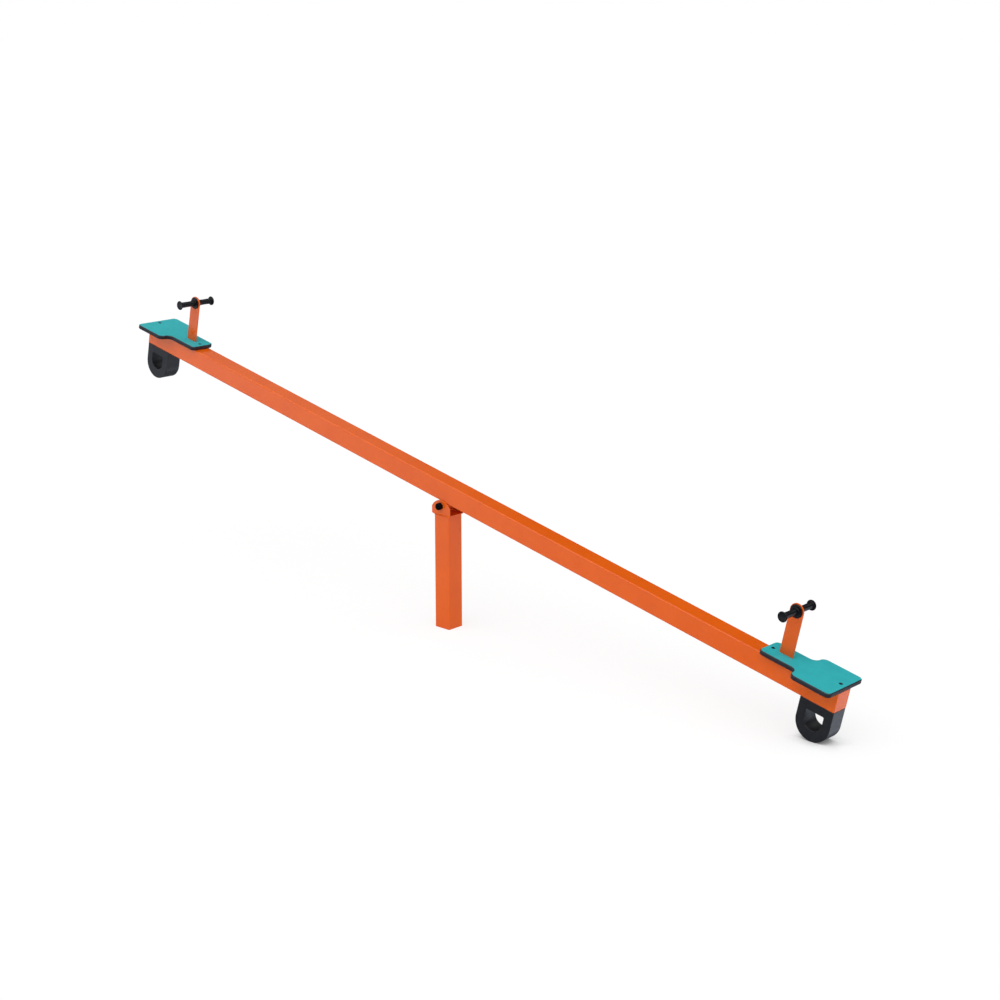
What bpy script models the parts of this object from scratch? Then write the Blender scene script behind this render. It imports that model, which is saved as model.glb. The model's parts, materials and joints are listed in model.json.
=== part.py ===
"""Playground seesaw: a steel beam on a single post, with a board seat, a T-handle and a D-shaped rubber
bumper at each end. The beam rocks on an axle bolt held by a U bracket on the post's head.

Metres, +Z up. The origin is the middle of the post's foot, on the ground. The beam lies along X and its
axle along Y. At rest the +X end is down, with its bumper on the ground. The pieces of the beam hang on an
empty on the axle, in the beam's own axes: u along the beam, v across it and w up from the axle. Each end
hangs on an empty of its own, so that both ends are built with u pointing outwards.
"""

import math

import bmesh
import bpy
from mathutils import Matrix

OBJECT_NAME = "seesaw"
GAP = 0.0003  # between pieces that touch
REACH = 0.010  # how far a cutter runs past what it cuts

# Post
POST_SIDE = 0.0845
POST_WALL = 0.004
POST_CORNER = 0.005
FOOT_THICKNESS = 0.006
BRACKET_FLOOR = 0.5145  # underside of the bracket, on the post's head

# Pivot bracket: a plate bent to a U, whose two ears reach up past the beam's underside, one on each side
BRACKET_LENGTH = 0.107
BRACKET_WIDTH = 0.091
BRACKET_PLATE = 0.004
BRACKET_BEND = 0.007
EAR_HEIGHT = 0.0685  # from the underside to the top of an ear
EAR_ARC = 0.060
AXLE_HEIGHT = 0.5574  # above the ground

# Axle: an M16 bolt with a washer on each side and a cap over each end
AXLE_RADIUS = 0.008
AXLE_END = 0.0625
AXLE_HOLE = 0.0085
HEX_16 = 0.024  # across flats
BOLT_HEAD_16 = 0.010
NUT_16 = 0.013
WASHER_RADIUS = 0.013
WASHER_THICKNESS = 0.003
CAP_RADIUS = 0.0155
CAP_BORE = 0.0142
CAP_STRAIGHT = 0.0135
CAP_DOME = 0.007
CAP_SKIN = 0.0015

# Hub under the beam
HUB_RADIUS = 0.01685
HUB_BORE = 0.0123
HUB_LENGTH = 0.075
SADDLE_LENGTH = 0.060
SADDLE_FOOT = 0.044
SADDLE_WIDTH = 0.050
SADDLE_REACH = 25  # degrees above the level, where the saddle's hollow starts
BUSH_SLEEVE = 0.022
BUSH_FLANGE_RADIUS = 0.016
BUSH_FLANGE = 0.0033

# Beam
BEAM_HALF_LENGTH = 2.069
BEAM_WIDTH = 0.082
BEAM_HEIGHT = 0.085
BEAM_WALL = 0.004
BEAM_CORNER = 0.005
BEAM_UNDERSIDE = 0.0205  # above the axle
END_PLATE = 0.004

# Seat board
SEAT_INNER_END = 1.707
SEAT_OUTER_END = 2.072
SEAT_THICKNESS = 0.019
SEAT_NARROW = 0.0625  # half widths
SEAT_WIDE = 0.1165
SEAT_STEP_START = 1.860
SEAT_CORNER = 0.020
SEAT_CHAMFER = 0.0025
SLOT_CLEARANCE = 0.0005
SEAT_BOLTS = (1.732, 2.045)

# Handle
HANDLE_PLACE = 1.794
HANDLE_PLATE_WIDTH = 0.062
HANDLE_PLATE = 0.006
GRIP_HEIGHT = 0.3124  # above the axle
HANDLE_TUBE_RADIUS = 0.01065
HANDLE_TUBE_BORE = 0.00805
HANDLE_TUBE_END = 0.090
GRIP_RADIUS = 0.0135
GRIP_END = 0.097
GRIP_FLANGE_RADIUS = 0.0275
GRIP_FLANGE = 0.005
GRIP_DISC_RADIUS = 0.0215
GRIP_DISC = 0.0045
GRIP_FILLET = 0.003

# Bumper
BUMPER_LENGTH = 0.154
BUMPER_HEIGHT = 0.157
BUMPER_WIDTH = 0.078
BUMPER_ROOF = 0.037
BUMPER_BORE_WIDTH = 0.080
BUMPER_BORE_HEIGHT = 0.0745
BUMPER_BORE_CORNER = 0.004
BUMPER_EDGE = 0.0012
BUMPER_BOLT_SPREAD = 0.025  # each side of the bumper's middle
STRIP_LENGTH = 0.072
STRIP_WIDTH = 0.036
STRIP_THICKNESS = 0.003

# M8 fasteners
BOLT_8 = 0.004
HOLE_8 = 0.0045
HEX_8 = 0.013
NUT_8 = 0.0065
NUT_BORE_8 = 0.0043
BOLT_HEAD_8 = 0.0053
SUNK_HEAD_8 = 0.008
SUNK_LAND = 0.0004
SOCKET_8 = 0.005
SOCKET_DEPTH = 0.003
THREAD_STANDOUT = 0.006

# Facets
ROUND_STEPS = 28
SMALL_ROUND_STEPS = 16
CORNER_STEPS = 4
FILLET_STEPS = 2
ARC_STEPS = 12
SMOOTH_ANGLE = math.radians(32)
EDGE_ANGLE = math.radians(50)  # sharper edges than this get a chamfer

# Worked out from the sizes above
BEAM_TOP = BEAM_UNDERSIDE + BEAM_HEIGHT
SEAT_FLOOR = BEAM_TOP + GAP
SEAT_TOP = SEAT_FLOOR + SEAT_THICKNESS
BUMPER_TOP = BEAM_UNDERSIDE - GAP
BUMPER_MIDDLE = BEAM_HALF_LENGTH - BUMPER_LENGTH / 2
BUMPER_RADIUS = BUMPER_LENGTH / 2
BUMPER_CENTRE = BEAM_UNDERSIDE - BUMPER_HEIGHT + BUMPER_RADIUS
BORE_ROOF = BEAM_UNDERSIDE - BUMPER_ROOF
BORE_RADIUS = BUMPER_BORE_WIDTH / 2
BORE_CENTRE = BORE_ROOF - BUMPER_BORE_HEIGHT + BORE_RADIUS

# Outline planes: an outline is drawn in x and y and made thick along z, then turned to face Y or X
FACING_Y = Matrix.Rotation(math.pi / 2, 4, "X")
FACING_X = Matrix(((0, 0, 1, 0), (1, 0, 0, 0), (0, 1, 0, 0), (0, 0, 0, 1)))
AXIS_TO_Y = Matrix.Rotation(-math.pi / 2, 4, "X")

ORANGE = ("orange_paint", (0.80, 0.13, 0.025), 0.35, 0.0)
TEAL = ("teal_board", (0.03, 0.42, 0.44), 0.55, 0.0)
BLACK_PLASTIC = ("black_plastic", (0.012, 0.012, 0.014), 0.45, 0.0)
RUBBER = ("rubber", (0.016, 0.017, 0.020), 0.7, 0.0)
ZINC = ("zinc_steel", (0.55, 0.56, 0.57), 0.35, 1.0)
DARK_STEEL = ("dark_steel", (0.05, 0.05, 0.055), 0.4, 1.0)
NYLON = ("nylon", (0.70, 0.68, 0.62), 0.5, 0.0)


def rest_tilt():
    """Angle of the beam with one bumper's round underside a gap above the ground."""
    reach = math.hypot(BUMPER_MIDDLE, BUMPER_CENTRE)
    drop = AXLE_HEIGHT - BUMPER_RADIUS - GAP
    return math.asin(drop / reach) - math.atan2(-BUMPER_CENTRE, BUMPER_MIDDLE)


def clear_scene():
    for old in list(bpy.data.objects):
        bpy.data.objects.remove(old, do_unlink=True)


def collection(name):
    made = bpy.data.collections.new(name)
    bpy.context.scene.collection.children.link(made)
    return made


def material(finish):
    """One material for each finish, made the first time that it is asked for."""
    name, colour, roughness, metallic = finish
    found = bpy.data.materials.get(name)
    if found:
        return found
    made = bpy.data.materials.new(name)
    made.use_nodes = True
    shader = made.node_tree.nodes["Principled BSDF"]
    shader.inputs["Base Color"].default_value = (*colour, 1)
    shader.inputs["Roughness"].default_value = roughness
    shader.inputs["Metallic"].default_value = metallic
    made.diffuse_color = (*colour, 1)
    return made


def arc(x, y, radius, start, end, steps):
    """Points on an arc from start to end, in degrees."""
    angles = (math.radians(start + (end - start) * i / steps) for i in range(steps + 1))
    return [(x + radius * math.cos(a), y + radius * math.sin(a)) for a in angles]


def circle(radius, x=0.0, y=0.0, steps=SMALL_ROUND_STEPS):
    return arc(x, y, radius, 0, 360, steps)[:-1]


def hexagon(across_flats):
    return circle(across_flats / 2 / math.cos(math.pi / 6), steps=6)


def rounded_box(width, height, radius, x=0.0, y=0.0):
    """Corner points of a box with round corners, centred on x and y."""
    points = []
    for turn, (side, level) in enumerate(((1, 1), (-1, 1), (-1, -1), (1, -1))):
        corner_x = x + side * (width / 2 - radius)
        corner_y = y + level * (height / 2 - radius)
        points += arc(corner_x, corner_y, radius, 90 * turn, 90 * turn + 90, CORNER_STEPS)
    return points


def mesh_of(holder):
    """The finished mesh of an object, with its loose seams welded. The object is removed."""
    bpy.context.view_layer.update()
    graph = bpy.context.evaluated_depsgraph_get()
    mesh = bpy.data.meshes.new_from_object(holder.evaluated_get(graph))
    bpy.data.objects.remove(holder, do_unlink=True)
    welded = bmesh.new()
    welded.from_mesh(mesh)
    bmesh.ops.remove_doubles(welded, verts=welded.verts, dist=1e-6)
    bmesh.ops.recalc_face_normals(welded, faces=welded.faces)
    welded.to_mesh(mesh)
    welded.free()
    return mesh


def outline_mesh(loops, thickness, facing=None):
    """A flat shape with the first loop as its edge and the others as its holes."""
    curve = bpy.data.curves.new("outline", "CURVE")
    curve.dimensions = "2D"
    curve.fill_mode = "BOTH"
    curve.extrude = thickness / 2
    for loop in loops:
        spline = curve.splines.new("POLY")
        spline.points.add(len(loop) - 1)
        spline.use_cyclic_u = True
        for point, (x, y) in zip(spline.points, loop):
            point.co = (x, y, 0, 1)
    holder = bpy.data.objects.new("outline", curve)
    bpy.context.scene.collection.objects.link(holder)
    mesh = mesh_of(holder)
    if facing:
        mesh.transform(facing)
    return mesh


def turned_mesh(profile, steps, closed=False, facing=None):
    """A profile of (radius, height) points turned about Z. A closed profile makes a ring."""
    mesh = bpy.data.meshes.new("profile")
    edges = [(i, i + 1) for i in range(len(profile) - 1)]
    if closed:
        edges.append((len(profile) - 1, 0))
    mesh.from_pydata([(radius, 0, height) for radius, height in profile], edges, [])
    holder = bpy.data.objects.new("profile", mesh)
    bpy.context.scene.collection.objects.link(holder)
    turn = holder.modifiers.new("Turn", "SCREW")
    turn.steps = steps
    turn.render_steps = steps
    turn.use_merge_vertices = True
    turn.merge_threshold = 1e-6
    made = mesh_of(holder)
    if facing:
        made.transform(facing)
    return made


class Assembly:
    """The seesaw's pieces and cutters, each in its own collection."""

    def __init__(self):
        self.parts = collection(OBJECT_NAME)
        self.cutters = collection(OBJECT_NAME + "_cutters")

    def frame(self, name, parent=None, place=(0, 0, 0), turn=(0, 0, 0)):
        empty = bpy.data.objects.new(name, None)
        empty.location = place
        empty.rotation_euler = turn
        empty.parent = parent
        self.parts.objects.link(empty)
        return empty

    def piece(self, name, mesh, finish, parent=None, place=(0, 0, 0)):
        mesh.materials.clear()
        mesh.materials.append(material(finish))
        mesh.shade_smooth()
        mesh.set_sharp_from_angle(angle=SMOOTH_ANGLE)
        made = bpy.data.objects.new(name, mesh)
        made.location = place
        made.parent = parent
        self.parts.objects.link(made)
        return made

    def cutter(self, name, mesh, parent=None, place=(0, 0, 0)):
        made = bpy.data.objects.new(name, mesh)
        made.location = place
        made.parent = parent
        made.hide_render = True
        made.display_type = "WIRE"
        self.cutters.objects.link(made)
        return made


def bevel(piece, width):
    """Chamfers the sharp edges that the piece has so far."""
    edge = piece.modifiers.new("Edge", "BEVEL")
    edge.width = width
    edge.segments = 1
    edge.limit_method = "ANGLE"
    edge.angle_limit = EDGE_ANGLE


def combine(piece, other, operation):
    change = piece.modifiers.new(other.name, "BOOLEAN")
    change.operation = operation
    change.object = other


def hex_bolt_mesh(across_flats, head, radius, length, steps):
    """The shank, from the middle of the head to the given length above z=0, and the head under z=0."""
    inside = head / 2
    shank = outline_mesh([circle(radius, steps=steps)], length + inside)
    shank.transform(Matrix.Translation((0, 0, (length - inside) / 2)))
    top = outline_mesh([hexagon(across_flats)], head)
    top.transform(Matrix.Translation((0, 0, -head / 2)))
    return shank, top


def hex_bolt(seesaw, name, sizes, finish, parent, place, facing=None):
    """A bolt with its head's bearing face at place and its shank along +Z, or along +Y with a facing."""
    shank, top = hex_bolt_mesh(*sizes)
    if facing:
        shank.transform(facing)
        top.transform(facing)
    bolt = seesaw.piece(name, shank, finish, parent, place)
    combine(bolt, seesaw.cutter(name + "_head", top, parent, place), "UNION")
    return bolt


def post(seesaw):
    plate = outline_mesh([rounded_box(POST_SIDE, POST_SIDE, POST_CORNER)], FOOT_THICKNESS)
    seesaw.piece("post_foot_plate", plate, ORANGE, place=(0, 0, FOOT_THICKNESS / 2))
    bottom = FOOT_THICKNESS + GAP
    top = BRACKET_FLOOR - GAP
    bore = POST_SIDE - 2 * POST_WALL
    walls = [
        rounded_box(POST_SIDE, POST_SIDE, POST_CORNER),
        rounded_box(bore, bore, POST_CORNER - POST_WALL),
    ]
    tube = outline_mesh(walls, top - bottom)
    seesaw.piece("post_tube", tube, ORANGE, place=(0, 0, (top + bottom) / 2))


def pivot_bracket(seesaw):
    """The U of bent plate, its ears trimmed to a round top and bored for the axle."""
    half = BRACKET_WIDTH / 2
    inside = half - BRACKET_PLATE
    floor = BRACKET_FLOOR
    tip = floor + EAR_HEIGHT + REACH
    bend = BRACKET_BEND
    inner_bend = bend - BRACKET_PLATE
    outline = [(-half, tip)]
    outline += arc(-half + bend, floor + bend, bend, 180, 270, CORNER_STEPS)
    outline += arc(half - bend, floor + bend, bend, 270, 360, CORNER_STEPS)
    outline += [(half, tip), (inside, tip)]
    outline += arc(half - bend, floor + bend, inner_bend, 360, 270, CORNER_STEPS)
    outline += arc(-half + bend, floor + bend, inner_bend, 270, 180, CORNER_STEPS)
    outline += [(-inside, tip)]
    bent = outline_mesh([outline], BRACKET_LENGTH + 2 * REACH, FACING_X)
    bracket = seesaw.piece("pivot_bracket", bent, ORANGE)
    side = BRACKET_LENGTH / 2
    corner = BRACKET_BEND
    arc_centre = floor + EAR_HEIGHT - EAR_ARC
    spread = math.degrees(math.asin(side / EAR_ARC))
    ears = [(side, floor + corner)]
    ears += arc(0, arc_centre, EAR_ARC, 90 - spread, 90 + spread, ARC_STEPS)
    ears += [(-side, floor + corner), (-side + corner, floor - GAP), (side - corner, floor - GAP)]
    through = BRACKET_WIDTH + 2 * REACH
    shape = outline_mesh([ears], through, FACING_Y)
    combine(bracket, seesaw.cutter("ear_shape", shape), "INTERSECT")
    hole = outline_mesh([circle(AXLE_HOLE, steps=ROUND_STEPS)], through, FACING_Y)
    combine(bracket, seesaw.cutter("axle_hole", hole, place=(0, 0, AXLE_HEIGHT)), "DIFFERENCE")


def axle(seesaw):
    """The bolt goes in from -Y. Washers, nut and caps are on the ears' outer faces."""
    axis = seesaw.frame("axle_axis", place=(0, 0, AXLE_HEIGHT))
    washer_face = BRACKET_WIDTH / 2 + GAP
    nut_face = washer_face + WASHER_THICKNESS + GAP
    sizes = (HEX_16, BOLT_HEAD_16, AXLE_RADIUS, nut_face + AXLE_END, ROUND_STEPS)
    hex_bolt(seesaw, "axle_bolt", sizes, ZINC, axis, (0, -nut_face, 0), AXIS_TO_Y)
    nut = outline_mesh([hexagon(HEX_16), circle(AXLE_RADIUS + GAP, steps=ROUND_STEPS)], NUT_16, FACING_Y)
    seesaw.piece("axle_nut", nut, ZINC, axis, (0, nut_face + NUT_16 / 2, 0))
    for name, side in (("front", -1), ("rear", 1)):
        rings = [circle(WASHER_RADIUS, steps=ROUND_STEPS), circle(AXLE_HOLE, steps=ROUND_STEPS)]
        washer = outline_mesh(rings, WASHER_THICKNESS, FACING_Y)
        middle = washer_face + WASHER_THICKNESS / 2
        seesaw.piece(f"axle_washer_{name}", washer, ZINC, axis, (0, side * middle, 0))
        cap = seesaw.piece(f"axle_cap_{name}", cap_mesh(), BLACK_PLASTIC, axis, (0, side * nut_face, 0))
        cap.rotation_euler = (-side * math.pi / 2, 0, 0)


def cap_mesh():
    """A cup with a domed top, open at z=0, turned about Z."""
    dome = arc(0, 0, 1, 90, 0, CORNER_STEPS + 1)
    outer = [(CAP_RADIUS * x, CAP_STRAIGHT + CAP_DOME * y) for x, y in dome]
    inner_dome = CAP_DOME - CAP_SKIN
    inner = [(CAP_BORE * x, CAP_STRAIGHT + inner_dome * y) for x, y in reversed(dome)]
    profile = outer + [(CAP_RADIUS, GAP), (CAP_BORE, GAP)] + inner
    return turned_mesh(profile, ROUND_STEPS)


def hub(seesaw, beam):
    """The bearing tube welded under the beam by a saddle, with a flanged bush in each end."""
    rings = [circle(HUB_RADIUS, steps=ROUND_STEPS), circle(HUB_BORE, steps=ROUND_STEPS)]
    seesaw.piece("hub_tube", outline_mesh(rings, HUB_LENGTH, FACING_Y), ORANGE, beam)
    top = BEAM_UNDERSIDE - GAP
    hollow = arc(0, 0, HUB_RADIUS + GAP, SADDLE_REACH, 180 - SADDLE_REACH, ARC_STEPS)
    foot = hollow[0][1]
    outline = [(-SADDLE_LENGTH / 2, top), (-SADDLE_FOOT / 2, foot)]
    outline += list(reversed(hollow))
    outline += [(SADDLE_FOOT / 2, foot), (SADDLE_LENGTH / 2, top)]
    seesaw.piece("hub_saddle", outline_mesh([outline], SADDLE_WIDTH, FACING_Y), ORANGE, beam)
    bore = AXLE_RADIUS + GAP
    sleeve = HUB_BORE - GAP
    profile = [
        (bore, BUSH_FLANGE),
        (BUSH_FLANGE_RADIUS, BUSH_FLANGE),
        (BUSH_FLANGE_RADIUS, 0),
        (sleeve, 0),
        (sleeve, -BUSH_SLEEVE),
        (bore, -BUSH_SLEEVE),
    ]
    for name, side in (("front", -1), ("rear", 1)):
        bush = turned_mesh(profile, ROUND_STEPS, closed=True)
        made = seesaw.piece(f"bush_{name}", bush, NYLON, beam, (0, side * (HUB_LENGTH / 2 + GAP), 0))
        made.rotation_euler = (-side * math.pi / 2, 0, 0)


def beam_tube(seesaw, beam):
    walls = [
        rounded_box(BEAM_WIDTH, BEAM_HEIGHT, BEAM_CORNER),
        rounded_box(BEAM_WIDTH - 2 * BEAM_WALL, BEAM_HEIGHT - 2 * BEAM_WALL, BEAM_CORNER - BEAM_WALL),
    ]
    length = 2 * (BEAM_HALF_LENGTH - END_PLATE - GAP)
    middle = BEAM_UNDERSIDE + BEAM_HEIGHT / 2
    return seesaw.piece("beam_tube", outline_mesh(walls, length, FACING_X), ORANGE, beam, (0, 0, middle))


def end_plate(seesaw, end, name):
    plate = outline_mesh([rounded_box(BEAM_WIDTH, BEAM_HEIGHT, BEAM_CORNER)], END_PLATE, FACING_X)
    place = (BEAM_HALF_LENGTH - END_PLATE / 2, 0, BEAM_UNDERSIDE + BEAM_HEIGHT / 2)
    seesaw.piece(f"beam_end_plate_{name}", plate, ORANGE, end, place)


def seat_outline():
    """Narrow by the handle and wide behind it, with an S of two quarter arcs at the step."""
    step = (SEAT_WIDE - SEAT_NARROW) / 2
    neck = SEAT_NARROW + step
    wide_start = SEAT_STEP_START + 2 * step
    inner = SEAT_INNER_END + SEAT_CORNER
    outer = SEAT_OUTER_END - SEAT_CORNER
    side = arc(inner, -SEAT_NARROW + SEAT_CORNER, SEAT_CORNER, 180, 270, CORNER_STEPS)
    side += arc(SEAT_STEP_START, -neck, step, 90, 0, CORNER_STEPS + 2)
    side += arc(wide_start, -neck, step, 180, 270, CORNER_STEPS + 2)[1:]
    side += arc(outer, -SEAT_WIDE + SEAT_CORNER, SEAT_CORNER, 270, 360, CORNER_STEPS)
    return side + [(u, -v) for u, v in reversed(side)]


def seat(seesaw, end, name):
    slot_length = HANDLE_PLATE_WIDTH + 2 * SLOT_CLEARANCE
    slot_width = HANDLE_PLATE + 2 * SLOT_CLEARANCE
    slot = rounded_box(slot_length, slot_width, SLOT_CLEARANCE, HANDLE_PLACE)
    board = outline_mesh([seat_outline(), slot], SEAT_THICKNESS)
    middle = (SEAT_FLOOR + SEAT_TOP) / 2
    seat_board = seesaw.piece(f"seat_board_{name}", board, TEAL, end, (0, 0, middle))
    bevel(seat_board, SEAT_CHAMFER)
    wide = SUNK_HEAD_8 + GAP
    below = -SEAT_THICKNESS - REACH
    sink = [
        (0, REACH),
        (wide, REACH),
        (wide, -SUNK_LAND),
        (HOLE_8, -SUNK_LAND - wide + HOLE_8),
        (HOLE_8, below),
        (0, below),
    ]
    for number, place in enumerate(SEAT_BOLTS, 1):
        hole = turned_mesh(sink, SMALL_ROUND_STEPS)
        cutter = seesaw.cutter(f"seat_hole_{name}_{number}", hole, end, (place, 0, SEAT_TOP))
        combine(seat_board, cutter, "DIFFERENCE")
        seat_bolt(seesaw, end, f"{name}_{number}", place)


def seat_bolt(seesaw, end, name, place):
    """A countersunk socket screw, flush with the board, and the nut welded inside the beam."""
    nut_top = BEAM_TOP - BEAM_WALL - GAP
    head_top = SEAT_TOP - GAP
    length = head_top - nut_top + NUT_8 + THREAD_STANDOUT
    profile = [
        (0, 0),
        (SUNK_HEAD_8, 0),
        (SUNK_HEAD_8, -SUNK_LAND),
        (BOLT_8, -SUNK_LAND - SUNK_HEAD_8 + BOLT_8),
        (BOLT_8, -length),
        (0, -length),
    ]
    bolt = turned_mesh(profile, SMALL_ROUND_STEPS)
    screw = seesaw.piece(f"seat_bolt_{name}", bolt, DARK_STEEL, end, (place, 0, head_top))
    socket = outline_mesh([hexagon(SOCKET_8)], 2 * SOCKET_DEPTH)
    combine(screw, seesaw.cutter(f"seat_socket_{name}", socket, end, (place, 0, head_top)), "DIFFERENCE")
    nut = outline_mesh([hexagon(HEX_8), circle(NUT_BORE_8)], NUT_8)
    seesaw.piece(f"seat_nut_{name}", nut, ZINC, end, (place, 0, nut_top - NUT_8 / 2))


def handle(seesaw, end, name):
    """The upright plate through the seat, the cross tube through its top and a grip on each side."""
    foot = BEAM_TOP + GAP
    half = HANDLE_PLATE_WIDTH / 2
    outline = [(-half, foot - GRIP_HEIGHT), (half, foot - GRIP_HEIGHT)]
    outline += arc(0, 0, half, 0, 180, ARC_STEPS)
    hole = circle(HANDLE_TUBE_RADIUS + GAP, steps=ROUND_STEPS)
    grip_axis = (HANDLE_PLACE, 0, GRIP_HEIGHT)
    plate = outline_mesh([outline, hole], HANDLE_PLATE, FACING_Y)
    seesaw.piece(f"handle_plate_{name}", plate, ORANGE, end, grip_axis)
    rings = [circle(HANDLE_TUBE_RADIUS, steps=ROUND_STEPS), circle(HANDLE_TUBE_BORE, steps=ROUND_STEPS)]
    tube = outline_mesh(rings, 2 * HANDLE_TUBE_END, FACING_Y)
    seesaw.piece(f"handle_tube_{name}", tube, ZINC, end, grip_axis)
    for label, side in (("left", 1), ("right", -1)):
        start = side * (HANDLE_PLATE / 2 + GAP)
        place = (HANDLE_PLACE, start, GRIP_HEIGHT)
        grip = seesaw.piece(f"grip_{name}_{label}", grip_mesh(), BLACK_PLASTIC, end, place)
        grip.rotation_euler = (-side * math.pi / 2, 0, 0)


def grip_mesh():
    """A sleeve with a broad flange at z=0 and a disc over its closed far end."""
    length = GRIP_END - HANDLE_PLATE / 2 - GAP
    bore = HANDLE_TUBE_RADIUS + GAP
    bore_end = HANDLE_TUBE_END - HANDLE_PLATE / 2
    soft = GRIP_DISC / 2
    fillet = GRIP_FILLET
    outer = [(0, length)]
    outer += reversed(arc(GRIP_DISC_RADIUS - soft, length - soft, soft, -90, 90, CORNER_STEPS))
    outer += arc(GRIP_RADIUS + fillet, length - GRIP_DISC - fillet, fillet, 90, 180, FILLET_STEPS)
    outer += [(GRIP_RADIUS, GRIP_FLANGE + fillet), (GRIP_RADIUS + fillet, GRIP_FLANGE)]
    outer += [(GRIP_FLANGE_RADIUS - soft / 2, GRIP_FLANGE)]
    outer += [(GRIP_FLANGE_RADIUS, GRIP_FLANGE - soft / 2), (GRIP_FLANGE_RADIUS, 0)]
    inner = [(bore, 0), (bore, bore_end), (0, bore_end)]
    return turned_mesh(outer + inner, ROUND_STEPS)


def bumper(seesaw, end, name):
    """The D of rubber with its flat side on the beam, bolted through its roof."""
    top = BUMPER_TOP - BUMPER_CENTRE
    outline = [(BUMPER_RADIUS, top), (-BUMPER_RADIUS, top)]
    outline += arc(0, 0, BUMPER_RADIUS, 180, 360, 2 * ARC_STEPS)
    roof = BORE_ROOF - BUMPER_CENTRE
    low = BORE_CENTRE - BUMPER_CENTRE
    corner = BUMPER_BORE_CORNER
    bore = arc(BORE_RADIUS - corner, roof - corner, corner, 0, 90, FILLET_STEPS)
    bore += arc(-BORE_RADIUS + corner, roof - corner, corner, 90, 180, FILLET_STEPS)
    bore += arc(0, low, BORE_RADIUS, 180, 360, 2 * ARC_STEPS)
    block = outline_mesh([outline, bore], BUMPER_WIDTH, FACING_Y)
    rubber = seesaw.piece(f"bumper_{name}", block, RUBBER, end, (BUMPER_MIDDLE, 0, BUMPER_CENTRE))
    bevel(rubber, BUMPER_EDGE)
    strip_middle = BORE_ROOF - GAP - STRIP_THICKNESS / 2
    places = [side * BUMPER_BOLT_SPREAD for side in (-1, 1)]
    shape = [rounded_box(STRIP_LENGTH, STRIP_WIDTH, BUMPER_BORE_CORNER)]
    shape += [circle(HOLE_8, place) for place in places]
    strip = outline_mesh(shape, STRIP_THICKNESS)
    seesaw.piece(f"bumper_strip_{name}", strip, ZINC, end, (BUMPER_MIDDLE, 0, strip_middle))
    for number, place in enumerate(places, 1):
        hole = outline_mesh([circle(HOLE_8)], BUMPER_ROOF + 2 * REACH)
        centre = (BUMPER_MIDDLE + place, 0, (BUMPER_TOP + BORE_ROOF) / 2)
        combine(rubber, seesaw.cutter(f"bumper_hole_{name}_{number}", hole, end, centre), "DIFFERENCE")
        bumper_bolt(seesaw, end, f"{name}_{number}", BUMPER_MIDDLE + place)


def bumper_bolt(seesaw, end, name, place):
    """A hexagon bolt from inside the bore up into a nut welded inside the beam."""
    head_face = BORE_ROOF - 2 * GAP - STRIP_THICKNESS
    nut_floor = BEAM_UNDERSIDE + BEAM_WALL + GAP
    length = nut_floor + NUT_8 + THREAD_STANDOUT - head_face
    sizes = (HEX_8, BOLT_HEAD_8, BOLT_8, length, SMALL_ROUND_STEPS)
    hex_bolt(seesaw, f"bumper_bolt_{name}", sizes, ZINC, end, (place, 0, head_face))
    nut = outline_mesh([hexagon(HEX_8), circle(NUT_BORE_8)], NUT_8)
    seesaw.piece(f"bumper_nut_{name}", nut, ZINC, end, (place, 0, nut_floor + NUT_8 / 2))


def beam_holes(seesaw, tube, end, name):
    """Holes through the beam's top wall for the seat and through its floor for the bumper."""
    bumper_places = [BUMPER_MIDDLE + side * BUMPER_BOLT_SPREAD for side in (-1, 1)]
    drilled = [(place, BEAM_TOP) for place in SEAT_BOLTS]
    drilled += [(place, BEAM_UNDERSIDE) for place in bumper_places]
    for number, (place, level) in enumerate(drilled, 1):
        hole = outline_mesh([circle(HOLE_8)], BEAM_WALL + REACH)
        cutter = seesaw.cutter(f"beam_hole_{name}_{number}", hole, end, (place, 0, level))
        combine(tube, cutter, "DIFFERENCE")


def main():
    clear_scene()
    seesaw = Assembly()
    post(seesaw)
    pivot_bracket(seesaw)
    axle(seesaw)
    beam = seesaw.frame("beam_axis", place=(0, 0, AXLE_HEIGHT), turn=(0, rest_tilt(), 0))
    hub(seesaw, beam)
    tube = beam_tube(seesaw, beam)
    for name, turn in (("low", 0), ("high", math.pi)):
        end = seesaw.frame(f"{name}_end", beam, turn=(0, 0, turn))
        end_plate(seesaw, end, name)
        seat(seesaw, end, name)
        handle(seesaw, end, name)
        bumper(seesaw, end, name)
        beam_holes(seesaw, tube, end, name)
    bpy.context.view_layer.update()


main()
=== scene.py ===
"""Looks of the playground seesaw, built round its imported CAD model.

Metres, in the CAD model's frame: +Z up, the origin under the post, the beam along X with its +X end down.
The pieces of the beam are built in the beam's own axes (u along it, v across it, w up from the axle), which
come from the CAD solids and the joint. The high end's axes are the low end's turned half a turn about w, so
that one function makes both ends. Every mesh ends up in the frame's coordinates, with its object at the
origin, so that the materials' patterns have the same scale on every piece.
"""

import json
import math

import bmesh
import bpy
from mathutils import Matrix, Vector


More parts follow.
